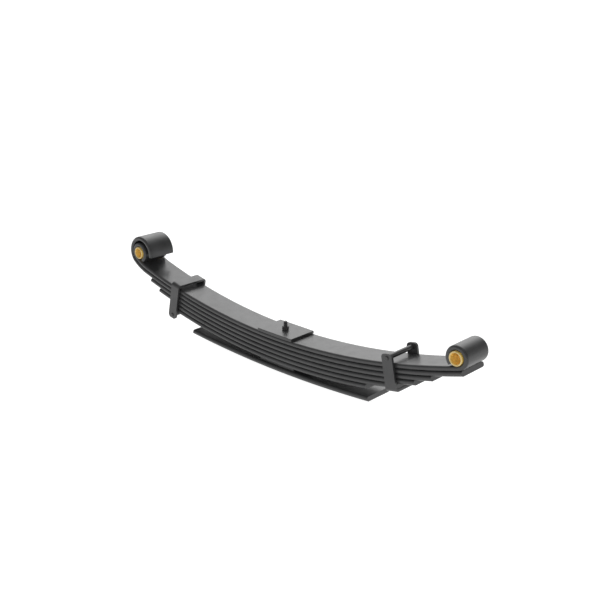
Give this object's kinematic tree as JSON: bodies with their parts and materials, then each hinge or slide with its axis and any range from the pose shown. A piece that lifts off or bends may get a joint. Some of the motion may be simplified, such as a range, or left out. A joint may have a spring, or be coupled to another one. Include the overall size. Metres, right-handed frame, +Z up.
{
  "type": "leaf spring",
  "caption": "Cambered multi-leaf suspension spring with rolled, bushed eyes, a helper leaf held off by a spacer, a centre bolt through a top plate, and two rebound clips.",
  "frame": {"origin": "on the centre bolt's axis, at the seat under the helper leaf, where the bolt's head meets it", "axes": "+X along the spring towards the plain eye, away from the wrapped one, +Y across its width along both eye bores, +Z up towards the eyes"},
  "size_m": [1.05, 0.0944, 0.2327],
  "materials": {
    "leaf_paint": "satin black paint",
    "clip_paint": "satin black paint",
    "fastener_black": "black oxide, slightly oily",
    "bronze": "machined bearing bronze"
  },
  "bodies": {
    "pack": {"main_leaf": "leaf_paint", "wrapper_leaf": "leaf_paint", "third_leaf": "leaf_paint", "fourth_leaf": "leaf_paint", "fifth_leaf": "leaf_paint", "sixth_leaf": "leaf_paint", "helper_leaf": "leaf_paint", "helper_spacer": "leaf_paint", "top_plate": "leaf_paint", "centre_bolt": "fastener_black", "centre_nut": "fastener_black", "left_bush": "bronze", "right_bush": "bronze", "right_clip": "clip_paint", "right_clip_pin": "fastener_black", "clip_rivet": "fastener_black"},
    "left_clip": {"left_clip": "clip_paint", "left_clip_pin": "fastener_black"},
    "left_tube": {"left_clip_tube": "fastener_black"},
    "right_tube": {"right_clip_tube": "fastener_black"}
  },
  "joints": [
    {"name": "left_clip_play", "type": "slide", "parent": "pack", "child": "left_clip", "axis": [0.205, 0, 0.9788], "range_m": [-0.007, 0.002]},
    {"name": "left_clip_tube_turn", "type": "hinge", "parent": "left_clip", "child": "left_tube", "pos_m": [-0.35882, 0, 0.04757], "axis": [0, 1, 0], "continuous": true},
    {"name": "right_clip_tube_turn", "type": "hinge", "parent": "pack", "child": "right_tube", "pos_m": [0.33126, 0, 0.13072], "axis": [0, 1, 0], "continuous": true}
  ]
}
